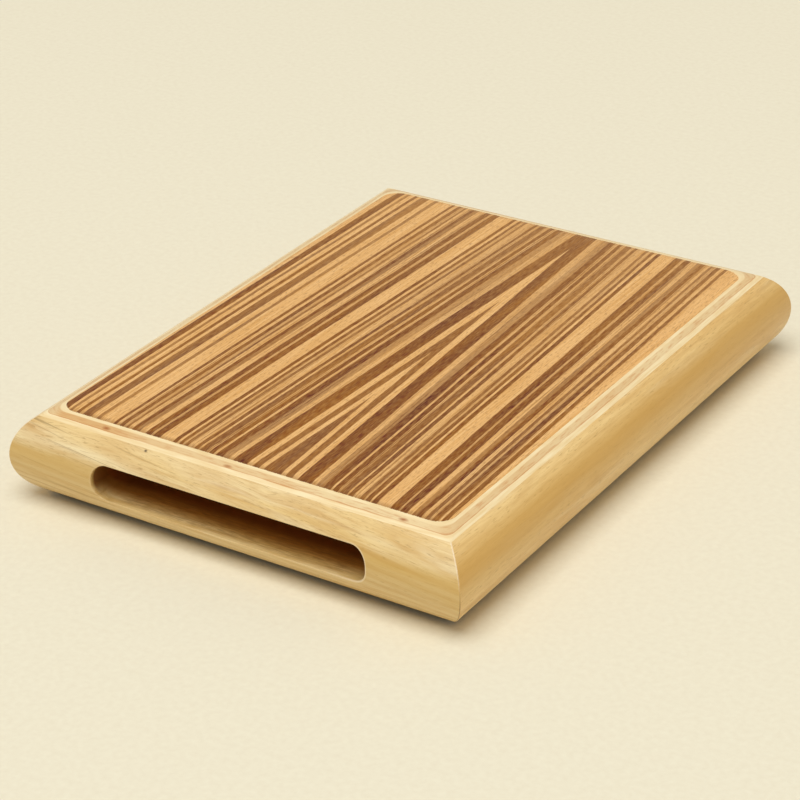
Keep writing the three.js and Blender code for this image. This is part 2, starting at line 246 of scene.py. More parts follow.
def link_surface(tree, shader, colour, height, strength, depth):
    """Gives the shader its colour, and a relief of a strength and a depth in millimetres."""
    relief = add_node(tree, "Bump", {"Height": height, "Strength": strength, "Distance": depth * MM})
    tree.links.new(colour.outputs[2], shader.inputs["Base Color"])
    tree.links.new(relief.outputs[0], shader.inputs["Normal"])


# %% [markdown]
# Zebrano is a straw-coloured wood with brown stripes. The playing face is two leaves of veneer cut one
# after the other from the same log and opened like a book, so that the stripes of one mirror those of
# the other about a seam. They lean away from the seam towards the slotted end, less and less with
# distance, which draws long narrow peaks along it.
# The stripes could be left to a noise texture. Here each dark one is written with its distance from
# the seam and its width, as a ruler on the middle of the leaf gives them, and noise adds what a ruler
# can't: wandering edges, fibres and pores.

# %% The figure of the veneer
SEAM_X = 14.75
LEAN = 0.056  # sideways per length, beside the seam
FAN_REACH = 160.0  # where the lean would come to nothing
DARK_STRIPES = (  # middle and width in mm, and depth of the brown
    (-5.6, 4.4, 0.9), (1.2, 2.9, 0.9), (9.9, 6.7, 1.0), (18.6, 3.4, 0.55), (21.8, 3.2, 1.0),
    (26.2, 2.1, 1.0), (30.7, 3.3, 0.9), (34.7, 1.7, 0.95), (40.5, 1.5, 0.85), (42.0, 2.2, 0.25),
    (43.6, 1.6, 0.95), (47.0, 1.9, 1.0), (57.5, 3.6, 1.0), (60.1, 1.8, 0.3), (62.3, 3.0, 1.0),
    (68.5, 2.5, 0.7), (70.4, 2.0, 1.0), (74.7, 1.3, 0.85), (76.2, 2.0, 0.3), (78.2, 2.2, 0.95),
    (82.0, 1.7, 0.95), (92.0, 2.0, 0.75), (98.7, 4.6, 0.85), (103.9, 1.9, 0.95), (108.4, 1.7, 0.75),
    (112.9, 4.0, 1.0),
)
WANDER = 1.6  # how far a stripe strays over the length of the board
FRAY = 0.45  # how far its edge strays from fibre to fibre

zebrano, tree, shader, place = new_finish("zebrano_veneer_satin_lacquer", 0.42, Specular_IOR_Level=0.4)
x, y, z = add_node(tree, "SeparateXYZ", [place]).outputs
beside = add_node(tree, "Math", [x, SEAM_X], operation="SUBTRACT")
off_seam = add_node(tree, "Math", [beside], operation="ABSOLUTE")
fan = add_node(tree, "Math", [math.exp(-LEAN / FAN_REACH), y], operation="POWER")
inward = add_node(tree, "Math", [off_seam, FAN_REACH], operation="SUBTRACT")
middle = FAN_REACH - (WANDER + FRAY) / 2
leaf = add_node(tree, "Math", [inward, fan, middle], operation="MULTIPLY_ADD")
for reach, across, along in ((WANDER, 22, 130), (FRAY, 0.9, 16)):
    stray = stretched_noise(tree, place, (across, along, math.inf), 2)
    leaf = add_node(tree, "Math", [stray, reach, leaf], operation="MULTIPLY_ADD")
print("stripes on a leaf:", len(DARK_STRIPES))

# %% [markdown]
# Each stripe is a smooth step on the distance to its middle, and the deepest one wins where two meet.
# Towards the slotted end the stripes are a little wider, except at the far left.

# %% The stripes
STRIPE_SOFTNESS = 0.12
SWELL = 0.32  # how far a stripe's edge moves out towards the slotted end
dark = None
swell = add_node(tree, "MapRange", [y, -100, 100, SWELL, 0])
to_right = add_node(tree, "MapRange", [x, -75, 5])
swell = add_node(tree, "Math", [swell, to_right], operation="MULTIPLY")
for centre, width, depth in DARK_STRIPES:
    off = add_node(tree, "Math", [leaf, centre], operation="SUBTRACT")
    gap = add_node(tree, "Math", [off], operation="ABSOLUTE")
    gap = add_node(tree, "Math", [gap, swell], operation="SUBTRACT")
    limits = width / 2 + STRIPE_SOFTNESS, width / 2 - STRIPE_SOFTNESS
    stripe = add_node(tree, "MapRange", [gap, *limits, 0, depth], interpolation_type="SMOOTHSTEP")
    dark = stripe if dark is None else add_node(tree, "Math", [dark, stripe], operation="MAXIMUM")
print("widest stripe:", max(width for _, width, _ in DARK_STRIPES), "mm")

# %% [markdown]
# In two places hairlines crowd between the stripes on a browner ground, most of all towards the rear.
# They are noise on the leaf's distance from the seam, so they lean as the stripes do.

# %% The hairlines
HAIRLINE, HAIRLINE_LENGTH = 0.9, 160
CROWDED = (26.0, 17.0, 0.22), (69.0, 16.0, 0.08)  # middle, reach, and how brown the ground is
lined = add_node(tree, "CombineXYZ", [leaf, y])
hairline = stretched_noise(tree, lined, (HAIRLINE, HAIRLINE_LENGTH, math.inf), 2, 0.52, 0.68, 0, 0.8)
to_rear = add_node(tree, "MapRange", [y, -40, 70, 0.25, 1.1])
for centre, reach, brownness in CROWDED:
    off = add_node(tree, "Math", [leaf, centre], operation="SUBTRACT")
    gap = add_node(tree, "Math", [off], operation="ABSOLUTE")
    crowd = add_node(tree, "MapRange", [gap, reach, reach * 0.6], interpolation_type="SMOOTHSTEP")
    ground = add_node(tree, "Math", [to_rear, brownness], operation="MULTIPLY")
    for fine in (ground, hairline):
        fine = add_node(tree, "Math", [crowd, fine], operation="MULTIPLY")
        dark = add_node(tree, "Math", [dark, fine], operation="MAXIMUM")
print("crowds of hairlines:", len(CROWDED))

# %% [markdown]
# Fibres and pores run along the board, a few tenths of a millimetre across and up to centimetres long.
# Real pores are about 0.2 mm wide, and are drawn a little wider here so that they show. Short hairs
# mottle the brown, which is a little paler towards the rear.

# %% Fibres, pores and colours of the veneer
grain = {
    kind: stretched_noise(tree, place, (across, along, 1), detail, 0.32, 0.68)
    for kind, across, along, detail in (
        ("tone", 6, 140, 2), ("fibre", 0.9, 60, 5), ("hair", 0.5, 5, 2), ("pore", 0.4, 3.5, 1),
    )
}
straw = add_node(tree, "Mix", [grain["fibre"], linear("#f9c987"), linear("#e0a85e")], data_type="RGBA")
brown = add_node(tree, "Mix", [grain["tone"], linear("#723904"), linear("#9c600b")], data_type="RGBA")
paler = add_node(tree, "MapRange", [y, -10, 140, 1.02, 0.86])
mottled = add_node(tree, "MapRange", [grain["hair"], 0, 1, 0.78, 1.12])
for limit in (mottled, paler):
    dark = add_node(tree, "Math", [dark, limit], operation="MULTIPLY")
wood = add_node(tree, "Mix", [dark, straw, brown], data_type="RGBA", clamp_factor=False)
pores = add_node(tree, "MapRange", [grain["pore"], 0.6, 1, 0, 0.4])
wood = layer(tree, wood, "#7a4b22", pores)
print("kinds of grain:", ", ".join(grain))

# %% [markdown]
# Sanding cut the veneer's edge to a feather, which is ragged where it was cut across the grain. At the
# slotted end lacquer has soaked into it, and at the rear a pale line of the board shows, where it was
# sanded deeper. The finish finds the edge by its height.

# %% The edge of the veneer
FEATHER = 0.05  # over which veneer goes into board
VENEER_END = LENGTH / 2 - edge_inset(BOARD_TOP)
soaked = add_node(tree, "MapRange", [y, 2.8 - VENEER_END, 0.8 - VENEER_END, 0, 0.4])
wood = layer(tree, wood, "#6b3d12", soaked)
to_end = add_node(tree, "Math", [y], operation="ABSOLUTE")
cut_across = add_node(tree, "MapRange", [to_end, VENEER_END - 6, VENEER_END - 2, 0, 0.08])
torn = add_node(tree, "MapRange", [grain["pore"], 0.3, 0.8])
ragged = add_node(tree, "Math", [torn, cut_across, BOARD_TOP - 0.06], operation="MULTIPLY_ADD")
sanded = add_node(tree, "MapRange", [y, VENEER_END - 9, VENEER_END - 3, 0, 0.2])
ragged = add_node(tree, "Math", [ragged, sanded], operation="ADD")
above = add_node(tree, "Math", [z, ragged], operation="SUBTRACT")
feather = add_node(tree, "MapRange", [above, 0.0, FEATHER])
wood = add_node(tree, "Mix", [feather, linear("#fbe0ab"), wood], data_type="RGBA")
link_surface(tree, shader, wood, grain["fibre"], 0.12, 0.2)
print("nodes in the veneer's finish:", len(tree.nodes))

# %% [markdown]
# The veneer and the two plywood panels are slices of the outside. Each is a stack of rounded
# rectangles, one for each height, with a flat face at the top and the bottom.

# %% Slices of the box
CORNER_STEPS = 14
SLICE_STEPS = 14


def outlines(heights):
    """Rounded rectangles, one row for each height: four quarter circles of the ridge's radius, set
    in from the box's corners by the inset and that radius."""
    z = np.asarray(heights, float)[:, None]
    radius = ridge_radius(z)
    turn = np.linspace(0, np.pi / 2, CORNER_STEPS + 1)
    angle = (np.arange(4)[:, None] * np.pi / 2 + turn).ravel()
    side_x, side_y = (np.repeat(signs, CORNER_STEPS + 1) for signs in ((1, -1, -1, 1), (1, 1, -1, -1)))
    x = side_x * (WIDTH / 2 - edge_inset(z) - radius) + radius * np.cos(angle)
    y = side_y * (LENGTH / 2 - edge_inset(z) - radius) + radius * np.sin(angle)
    return np.stack(np.broadcast_arrays(x, y, z), -1)


def slice_of_box(low, high):
    """The outside between two heights, at even steps of the half circle's angle, and its faces."""
    ends = np.arcsin((np.array([low, high]) - HEIGHT / 2) / EDGE_RADIUS)
    rings = outlines(HEIGHT / 2 + EDGE_RADIUS * np.sin(np.linspace(*ends, SLICE_STEPS + 1)))
    return rings, capped_quads(*rings.shape[:2])


add_piece("veneer_face", "tapa_veneer", "zebrano", *slice_of_box(BOARD_TOP, HEIGHT), zebrano)

# %% [markdown]
# The edge of plywood shows its plies as bands, because the rounding cuts them at a slant: pale face
# plies with a browner core between them. The finish reads the height for that. The core's grain lies
# across, so its edge has short dashes and a small knot here and there. Its heartwood is browner on
# the left, and on the long sides it shows even end grain.


# %% Pin knots
def distance(tree, place, *steps):
    """The length of a place's vector after some steps, each an operation and its value."""
    for operation, *value in (*steps, ("LENGTH",)):
        place = add_node(tree, "VectorMath", [place, *value], operation=operation)
    return place


def knotted(tree, place, wood, spots, stretch, rough, colour):
    """The wood with a pin knot at each of the spots: the distance to it, stretched along the axes and
    made rough by a noise, fades from full colour at 0.4 to none at 1.1."""
    for spot in spots:
        off = distance(tree, place, ("SUBTRACT", spot), ("MULTIPLY", stretch))
        off = add_node(tree, "Math", [rough, 0.4, off], operation="MULTIPLY_ADD")
        knot = add_node(tree, "MapRange", [off, 1.1, 0.4, 0, 0.85])
        wood = layer(tree, wood, colour, knot)
    return wood


BOARD_KNOTS = (-73, -142, 43.4), (-6, -142.5, 43.2), (84, -142, 43.4)
print("knots in the board's edge:", len(BOARD_KNOTS))

# %% [markdown]
# The playing board is pale. The back board is dark with lines along it, and its dark colour is a
# painted shade that deepens the shadow on the floor where the rails meet it. Both are the same kind of
# plywood, so one function makes both finishes.

# %% The finish of the plywood
PLY_BLUR = 0.14  # over which one ply goes into the next


def plywood(name, core_low, core_high, faces, cores, dash, figured=0, knots=()):
    """Three-ply with a sanded edge. The core lies between the two heights, and the face plies and
    the core have two tones each. Dash is the colour of the core's dashes, of the glue under it and,
    as far as the wood is figured, of lines along the board. Knots are places in the core."""
    finish, tree, shader, place = new_finish(name, 0.38)
    side, _, height = add_node(tree, "SeparateXYZ", [place]).outputs
    streak, fleck, patch = (
        stretched_noise(tree, place, (across, across, thick), 3, *limits)
        for across, thick, *limits in ((14, 0.5, 0.3, 0.7), (7, 0.3, 0.5, 0.68), (38, 6, 0.35, 0.65))
    )
    level = add_node(tree, "Math", [streak, PLY_BLUR, height], operation="MULTIPLY_ADD")
    low = add_node(tree, "MapRange", [level, core_low, core_low + PLY_BLUR])
    high = add_node(tree, "MapRange", [level, core_high, core_high + PLY_BLUR, 1, 0])
    core = add_node(tree, "Math", [low, high], operation="MULTIPLY")
    glue = add_node(tree, "Math", [level, core_low + 0.1, 0.09], operation="COMPARE")
    pale = add_node(tree, "Mix", [streak, *map(linear, faces)], data_type="RGBA")
    heart = add_node(tree, "MapRange", [side, 50, -40, -0.1, 0.55])
    to_side = add_node(tree, "Math", [side], operation="ABSOLUTE")
    end_grain = add_node(tree, "MapRange", [to_side, WIDTH / 2 - 22, WIDTH / 2 - 17])
    shade = add_node(tree, "Mix", [end_grain, heart, 0.2])
    shade = add_node(tree, "Math", [patch, 0.5, shade], operation="MULTIPLY_ADD", use_clamp=True)
    tan = add_node(tree, "Mix", [shade, *map(linear, cores)], data_type="RGBA")
    tan = layer(tree, tan, dash, fleck, 0.5)
    tan = knotted(tree, place, tan, knots, (0.35, 0.35, 2), fleck, "#a85c1e")
    wood = add_node(tree, "Mix", [core, pale, tan], data_type="RGBA")
    wood = layer(tree, wood, dash, glue, patch, 0.8)
    if figured:
        lines = stretched_noise(tree, place, (1.6, 80, 1.6), 3, 0.45, 0.7, 0, figured)
        wood = layer(tree, wood, dash, lines)
    link_surface(tree, shader, wood, fleck, 0.1, 0.15)
    print(name, "core from", round(core_low, 2), "to", round(core_high, 2), "mm")
    return finish


BOARD_CORE, BACK_CORE = (HEIGHT - 2.2, HEIGHT - 1.05), (1.0, 2.0)
PALE_PLY, TAN_PLY = ("#ffedc0", "#f2d69e"), ("#f4dfae", "#dfb478")
# The back board's dark colour is a painted shade for the deep shadow under the rails' edges.
SHADE_DARK_PLY, SHADE_DARK_CORE = ("#42281a", "#341f14"), ("#4a2f1f", "#3a2417")
board_ply = plywood("birch_plywood", *BOARD_CORE, PALE_PLY, TAN_PLY, "#cf8f52", knots=BOARD_KNOTS)
shade_dark_ply = plywood("shade_dark_plywood", *BACK_CORE, SHADE_DARK_PLY, SHADE_DARK_CORE, "#2a180f", figured=0.7)
add_piece("playing_board", "tapa_panel", "plywood", *slice_of_box(RAIL_TOP, BOARD_TOP), board_ply)
add_piece("back_board", "back_panel", "back_plywood", *slice_of_box(0, RAIL_LOW), shade_dark_ply)

# %% [markdown]
# The rails are a pale golden wood, sanded and lacquered. The grain runs along each rail and wanders a
# little: broad soft bands, growth rings, brown lines, fibres and pores, nearly all of it noise that is
# stretched along one axis and bent by a slower one. Lines drawn on the surface would have to follow its
# curve, but noise fills space, and the half round cuts through it as through real grain.

# %% The grain of a rail
RING = 3.4  # from one growth ring to the next
BEND = 9.0  # how far the grain wanders


def rail_grain(tree, place, along, lean, old_end):
    """Kinds of grain along axis 0 (X) or 1 (Y), leaning down by an angle. Each is a noise that shows
    between two of its values. Rings are a wave on the distance across them. Lines grow from few to
    many towards the old end."""
    turn = [0, 0, 0]
    turn[1 - along] = math.radians(lean)
    leaning = add_node(tree, "Mapping", {"Vector": place, "Rotation": turn})

    def noise(start, across, inward, length, *limits):
        """A noise with sizes across the grain, into the wood and along it."""
        size = (inward, length, across) if along else (length, inward, across)
        return stretched_noise(tree, start, size, 3, *limits, Distortion=0.4)

    bend = noise(leaning, 18, 18, 110)
    grown = add_node(tree, "VectorMath", [bend, [BEND] * 3, leaning], operation="MULTIPLY_ADD")
    grain = {"line": noise(leaning, 0.8, 14, 60, 0.57, 0.73)}
    for kind, across, length, *limits in (
        ("band", 12, 150, 0.36, 0.64), ("cream", 6, 80, 0.52, 0.66), ("streak", 3, 50, 0.52, 0.7),
        ("fibre", 0.7, 14, 0.35, 0.7), ("pore", 0.45, 5, 0.58, 0.7),
    ):
        grain[kind] = noise(grown, across, across, length, *limits)
    across_rings = [-0.64, -0.64, 0.77]
    across_rings[along] = 0
    rings = add_node(tree, "VectorMath", [grown, across_rings], operation="DOT_PRODUCT")
    rings = add_node(tree, "Math", [rings, 1 / RING], operation="MULTIPLY")
    rings = add_node(tree, "Math", [rings, 0.5], operation="PINGPONG")
    grain["ring"] = add_node(tree, "MapRange", [rings, 0.1, 0.45], interpolation_type="SMOOTHSTEP")
    place_along = add_node(tree, "SeparateXYZ", [place]).outputs[along]
    older = add_node(tree, "MapRange", [place_along, old_end / 4, old_end, 0.12, 1])
    grain["line"] = add_node(tree, "Math", [grain["line"], older], operation="MULTIPLY")
    return grain


print("growth rings every", RING, "mm")

# %% [markdown]
# The end rails hold the sound slot and the screws. Inside their openings the wood is painted browner
# and darker with depth, a painted shade for the light that hardly reaches in there. A place's distance
# to the half round's axis tells how far inside it is: that is the edge's radius on the outside, and
# less within.

# %% Painted shade inside the openings
INSIDE_SHADE_BELOW = 34, 33  # the glued top of a rail has none


def painted_shade_inside(tree, place, streaks, wood):
    """The wood of an end rail with painted shade inside its openings, darker with depth. Each colour
    starts at a distance to the axis, is full at a smaller one, and has a share: amber, brown with grain
    streaks near the slot's mouth, darker end grain at its ends that is partly its own colour and partly
    painted shade, and red brown deep inside."""
    size = add_node(tree, "VectorMath", [place], operation="ABSOLUTE")
    x, _, z = add_node(tree, "SeparateXYZ", [size]).outputs
    axis = 0, LENGTH / 2 - EDGE_RADIUS, HEIGHT / 2
    reach = distance(tree, size, ("SUBTRACT", axis), ("MULTIPLY", (0, 1, 1)))
    below_glue = add_node(tree, "MapRange", [z, *INSIDE_SHADE_BELOW])
    upper = add_node(tree, "MapRange", [z, 13.5, 20.5])
    middle = add_node(tree, "MapRange", [x, 66, 56, 0.1, 1])
    ends = add_node(tree, "MapRange", [x, 64, 69])
    for colour, start, full, share, *limits in (
        ("#c07f2a", 18, 12.5, 0.85), ("#7d4a14", 21, 19, 0.55, streaks, middle, below_glue),
        ("#6e3a0c", 21.4, 19.8, 0.9, ends, upper, below_glue), ("#8a4210", 10.5, 8.4, 0.8),
    ):
        shown = add_node(tree, "MapRange", [reach, start, full, 0, share])
        wood = layer(tree, wood, colour, shown, *limits)
    return painted_rim_highlight(tree, place, reach, wood)


print("outside to axis:", EDGE_RADIUS, "mm")

# %% [markdown]
# The slot is a long hole with round ends, routed through the half round. Its rim carries a painted
# highlight, a pale line that is strongest on the right. A line in the finish follows the same outline
# that the slot is cut to.

# %% The painted highlight on the slot's rim
SLOT_LENGTH, SLOT_HEIGHT, SLOT_CORNER, SLOT_RISE = 146.0, 17.6, 8.0, 0.5
SLOT_CORE = SLOT_LENGTH / 2 - SLOT_CORNER, 0, SLOT_HEIGHT / 2 - SLOT_CORNER
RIM_START, RIM_END = 0.6, 0.9  # from the slot's outline, where the pale line fades


def painted_rim_highlight(tree, place, reach, wood):
    """The wood with a painted highlight, a pale line round the slot, on places of the front near its
    outline: the distance to the rectangle between the corners' centres, less the corners' radius."""
    centre = 0, 0, HEIGHT / 2 + SLOT_RISE
    gap = distance(
        tree, place, ("SUBTRACT", centre), ("ABSOLUTE",), ("SUBTRACT", SLOT_CORE),
        ("MAXIMUM", (0, 0, 0)), ("MULTIPLY", (1, 0, 1)),
    )
    rim = add_node(tree, "MapRange", [gap, SLOT_CORNER + RIM_END, SLOT_CORNER + RIM_START, 0, 0.5])
    x, y, _ = add_node(tree, "SeparateXYZ", [place]).outputs
    outside = add_node(tree, "MapRange", [reach, 21.5, 21.9])
    front = add_node(tree, "Math", [y, 0], operation="LESS_THAN")
    right = add_node(tree, "MapRange", [x, 50, 70, 0.15, 1])
    # The painted highlight grows stronger towards the right.
    return layer(tree, wood, "#fff0d2", rim, outside, front, right)


print("slot:", SLOT_LENGTH, "x", SLOT_HEIGHT, "mm")

# %% [markdown]
# At the mitres a thin dark line of glue shows in the lower part, and above it a pale line is a painted
# highlight on the eased ridge. The finish can find both, because every mitre lies where the distances
# to two sides are equal.

# %% The glue lines and the painted ridge highlight
# The first row is the painted highlight, the second the dark glue line.
MITRE_HIGHLIGHT_AND_GLUE = (0.4, "#ffedcc", 24, 34), (0.25, "#6e4517", 27, 20)  # half width, colour, heights


def mitre_highlight_and_glue(tree, place, fibre, wood):
    """The wood with a painted highlight along the upper ridge of each mitre and a dark line of glue
    below. Each grows between two heights, and the fibres break it up.
    """
    size = add_node(tree, "VectorMath", [place], operation="ABSOLUTE")
    x, y, z = add_node(tree, "SeparateXYZ", [size]).outputs
    side = add_node(tree, "Math", [x, y], operation="SUBTRACT")
    broken = add_node(tree, "MapRange", [fibre, 0, 1, 1, 0.4])
    for width, colour, low, high in MITRE_HIGHLIGHT_AND_GLUE:
        joint = add_node(tree, "Math", [side, (WIDTH - LENGTH) / 2, width], operation="COMPARE")
        part = add_node(tree, "MapRange", [z, low, high, 0, 0.8])
        wood = layer(tree, wood, colour, joint, part, broken)
    return wood


print("lines of glue at a mitre:", len(MITRE_HIGHLIGHT_AND_GLUE))

# %% [markdown]
# Along the middle of their height the rails are painted a deeper amber, a painted shade for the faces
# that turn away from the light above, which the finish draws by height. The end rails have the most
# lines at the left, and a pin knot above the slot. The side rails are plainer: their old end would lie
# far behind them.

# %% The finish of the rails
RAIL_KNOT = -47.8, -145.2, 41.0
# The greatest share of the painted amber shade.
SHADE_AMBER_SHARE = 0.75  # how much of the amber shows where it is strongest


def rail_wood(name, along, lean, old_end, tones, lines, amber, shade_heights):
    """Pale golden hardwood in two tones, with the grain of a rail. Lines is the share of its coarse
    kinds. Amber is the colour of a painted shade along the middle of the height, and shade heights say
    where it lies: the heights between which it grows, then those between which it fades, and what is
    left."""
    finish, tree, shader, place = new_finish(name, 0.4, Coat_Weight=0.2, Coat_Roughness=0.35)
    grain = rail_grain(tree, place, along, lean, old_end)
    wood = add_node(tree, "Mix", [grain["band"], *map(linear, tones)], data_type="RGBA")
    for kind, colour, share in (
        ("ring", "#d0a052", 0.28 * lines), ("cream", "#fff0c8", 0.45 * lines),
        ("streak", "#c08c40", 0.45 * lines), ("line", "#6b4b1c", 0.62 * lines),
        ("fibre", "#b9863e", 0.22), ("pore", "#8f6526", 0.38),
    ):
        wood = layer(tree, wood, colour, grain[kind], share)
    start, full, still, end, left = shade_heights
    z = add_node(tree, "SeparateXYZ", [place]).outputs[2]
    grows = add_node(tree, "MapRange", [z, start, full, 0, SHADE_AMBER_SHARE], interpolation_type="SMOOTHSTEP")
    fades = add_node(tree, "MapRange", [z, end, still, left, SHADE_AMBER_SHARE])
    shown = add_node(tree, "Math", [grows, fades], operation="MINIMUM")
    wood = layer(tree, wood, amber, shown)
    wood = mitre_highlight_and_glue(tree, place, grain["fibre"], wood)
    if along == 0:
        wood = knotted(tree, place, wood, [RAIL_KNOT], (0.85, 0.85, 1.25), grain["fibre"], "#33200c")
        # Painted shade inside the slot and the screw seats.
        wood = painted_shade_inside(tree, place, grain["fibre"], wood)
    link_surface(tree, shader, wood, grain["fibre"], 0.06, 0.2)
    print(name, "grain along", "XY"[along])
    return finish


# The side rails' tones are a more golden copy of the end rails', a painted shade for the sides that get
# less light.
END_TONES, SIDE_SHADED_TONES = ("#fdecbf", "#f0d292"), ("#fcdc9a", "#ebc077")
# Heights of the painted amber shade on the end rails and on the side rails.
END_SHADE_HEIGHTS, SIDE_SHADE_HEIGHTS = (34, 28, 29, 12, 0.5), (42, 33, 29, 17, 0)
end_rail_wood = rail_wood("golden_hardwood_along_x", 0, -5, -80, END_TONES, 1.0, "#d2a953", END_SHADE_HEIGHTS)
side_rail_wood = rail_wood("golden_hardwood_along_y", 1, 1, 400, SIDE_SHADED_TONES, 0.55, "#d5a54e", SIDE_SHADE_HEIGHTS)

# %% [markdown]
# A side rail is a profile carried along a path. The profile is the half round, the flat top and bottom
# that are glued to the panels, and the inner face. Both ends are cut at 45 degrees: a point of the
# profile that lies further in ends earlier by as much. At the ends the outside turns through an eighth
# of a circle, so that two rails meet in an eased ridge.

# %% The side rails
PROFILE_STEPS = 48
RIDGE_STEPS = 5


def side_rail():
    """A rail on the +X side: rows are stations along it, columns go round the profile. Near each
    end, the half round's points follow an arc of the ridge's radius to the mitre."""
    angle = np.arcsin((np.array([RAIL_LOW, RAIL_TOP]) - HEIGHT / 2) / EDGE_RADIUS)
    z = HEIGHT / 2 + EDGE_RADIUS * np.sin(np.linspace(*angle, PROFILE_STEPS + 1))
    z = np.append(z, [RAIL_TOP, RAIL_LOW])
    inset = np.append(edge_inset(z[:-2]), [RAIL_WIDTH, RAIL_WIDTH])
    radius = ridge_radius(z)
    turn = np.linspace(0, np.pi / 4, RIDGE_STEPS + 1)[:, None]
    outer = np.append(np.ones(PROFILE_STEPS + 1), [0, 0])
    reach = LENGTH / 2 - inset - GLUE_LINE - radius * (
        outer * (1 - np.sin(turn)) + (1 - outer) * (1 - np.sin(turn) * math.sqrt(2))
    )
    x = WIDTH / 2 - inset - outer * radius * (1 - np.cos(turn))
    y = np.concatenate([-reach[::-1], reach])
    points = np.stack([np.concatenate([x[::-1], x]), y, np.broadcast_to(z, y.shape)], -1)
    return points, [face[::-1] for face in capped_quads(*y.shape)]


points, faces = side_rail()
half_turn = np.array([-1, -1, 1])
add_piece("right_rail_wood", "right_rail", "rail_wood", points, faces, side_rail_wood)
add_piece("left_rail_wood", "left_rail", "rail_wood", points * half_turn, faces, side_rail_wood)

# %% [markdown]
# The front rail has the sound slot, so it is made as one grid that closes both ways, like a ring
# doughnut: its rows go from the rail's outline over the half round to the slot's rim, round the eased
# rim into the slot, out again on the inner face, and back to the outline. Each row is a loop of as many
# points: the top edge, the left end, the bottom edge and the right end.

# %% Loops for a rail with a slot
SLOT_EASE = 0.55  # the rim's rounding outside
INNER_EASE = 0.6
EDGE_POINTS, END_POINTS = 72, 40
edge_share = np.arange(EDGE_POINTS) / EDGE_POINTS
end_share = np.arange(END_POINTS) / END_POINTS
edge_x, end_x = 1 - 2 * edge_share, np.ones(END_POINTS)
loop_x = np.concatenate([edge_x, -end_x, -edge_x, end_x])  # as a share of the rail's reach


def straight_end(z):
    """Where the straight part of an end rail's outside stops at height z."""
    return WIDTH / 2 - edge_inset(z) - ridge_radius(z) - GLUE_LINE


def slot_loop(grow):
    """The slot's outline grown by a distance, as X and Z: straight edges joined by half circles
    whose upper and lower halves are drawn apart."""
    radius = SLOT_CORNER + grow
    reach, _, apart = SLOT_CORE
    bow, rise = radius * np.sin(np.pi * end_share), radius * np.cos(np.pi * end_share)
    rise = rise + apart * np.sign(rise)
    straight, level = reach * edge_x, np.full(EDGE_POINTS, radius + apart)
    x = np.concatenate([straight, -reach - bow, -straight, reach + bow])
    return np.stack([x, HEIGHT / 2 + SLOT_RISE + np.concatenate([level, rise, -level, -rise])])


def rail_loop(trim, turn):
    """The rail's outline as X and Z, trimmed at top and bottom. At the ends it stops where the
    ridge's arc has turned by an angle."""
    top, low = RAIL_TOP - trim, RAIL_LOW + trim
    level, down = np.ones(EDGE_POINTS), (low - top) * end_share
    z = np.concatenate([top * level, top + down, low * level, low - down])
    return np.stack([loop_x * (straight_end(z) + ridge_radius(z) * math.sin(turn)), z])


print("points in a loop:", len(loop_x))

# %% [markdown]
# A loop is flat. Helpers lift it onto the half round or to a depth, round an edge between two rows of
# points, and fill in rows between two others.


# %% Rows of points
def on_face(loop):
    """Points on the front's outside above X and Z: the inset at that height, and past the straight
    part the arc of the ridge."""
    x, z = loop
    radius = ridge_radius(z)
    past = np.clip(np.abs(x) - straight_end(z), 0, radius)
    y = -LENGTH / 2 + edge_inset(z) + radius - np.sqrt(radius**2 - past**2)
    return np.stack([x, y, z], -1)


def at_depth(loop, y):
    """Points above X and Z at a depth or depths Y."""
    return np.stack([loop[0], np.broadcast_to(y, loop[0].shape), loop[1]], -1)


def eased(start, corner, end, steps):
    """Rows of a rounded edge after its start: the curve that leaves the start towards the corner and
    comes to the end from the corner, weights (1-t)^2, 2t(1-t) and t^2."""
    t = np.linspace(0, 1, steps + 1)[1:, None, None]
    return (1 - t) ** 2 * start + 2 * t * (1 - t) * corner + t**2 * end


def between(first, last, shares):
    """Rows between two loops or rows of points, at shares of the way from the first to the last."""
    return np.array([first + (last - first) * share for share in shares])


print("foremost point of the slot's rim: Y", round(on_face(slot_loop(0))[:, 1].min(), 2), "mm")

# %% [markdown]
# With these loops the rail is a list of rows. The rim's rounding is about half a millimetre, which
# catches the light as a thin pale line round the slot.

# %% The front rail
FACE_ROWS, RIM_STEPS, INNER_STEPS = 10, 7, 4
RIDGE_ROWS, RIDGE_TRIM = 4, 0.45  # the rows over the ridge move in by the trim
QUARTERS, THIRDS = (0.25, 0.5, 0.75, 1), (0.33, 0.67, 1)
inner_y = RAIL_WIDTH - LENGTH / 2
inner_end = WIDTH / 2 - RAIL_WIDTH - GLUE_LINE
ridge = np.linspace((0, math.pi / 4), (1, 0), RIDGE_ROWS)  # share of the trim, and turn of the arc
ridge_rows = [on_face(rail_loop(RIDGE_TRIM * share, turn)) for share, turn in ridge]
shares = np.linspace(0, 1, FACE_ROWS + 1)[1:]
face_loops = between(rail_loop(RIDGE_TRIM, 0), slot_loop(SLOT_EASE), shares)
face_rows = [on_face(loop) for loop in face_loops]
rim = on_face(slot_loop(0))
wall_start = rim + (0, SLOT_EASE, 0)
wall_end = at_depth(slot_loop(0), inner_y - INNER_EASE)
inner_rim = at_depth(slot_loop(0), inner_y)
inner_start = at_depth(slot_loop(INNER_EASE), inner_y)
inner_loop = np.stack([loop_x * inner_end, rail_loop(0, 0)[1]])
rows = np.concatenate([
    ridge_rows,
    face_rows,
    eased(face_rows[-1], rim, wall_start, RIM_STEPS),
    between(wall_start, wall_end, QUARTERS),
    eased(wall_end, inner_rim, inner_start, INNER_STEPS),
    between(inner_start, at_depth(inner_loop, inner_y), THIRDS),
])
faces = grid_quads(*rows.shape[:2], close_rows=True).tolist()
add_piece("front_rail_wood", "front_rail", "rail_wood", rows, faces, end_rail_wood)

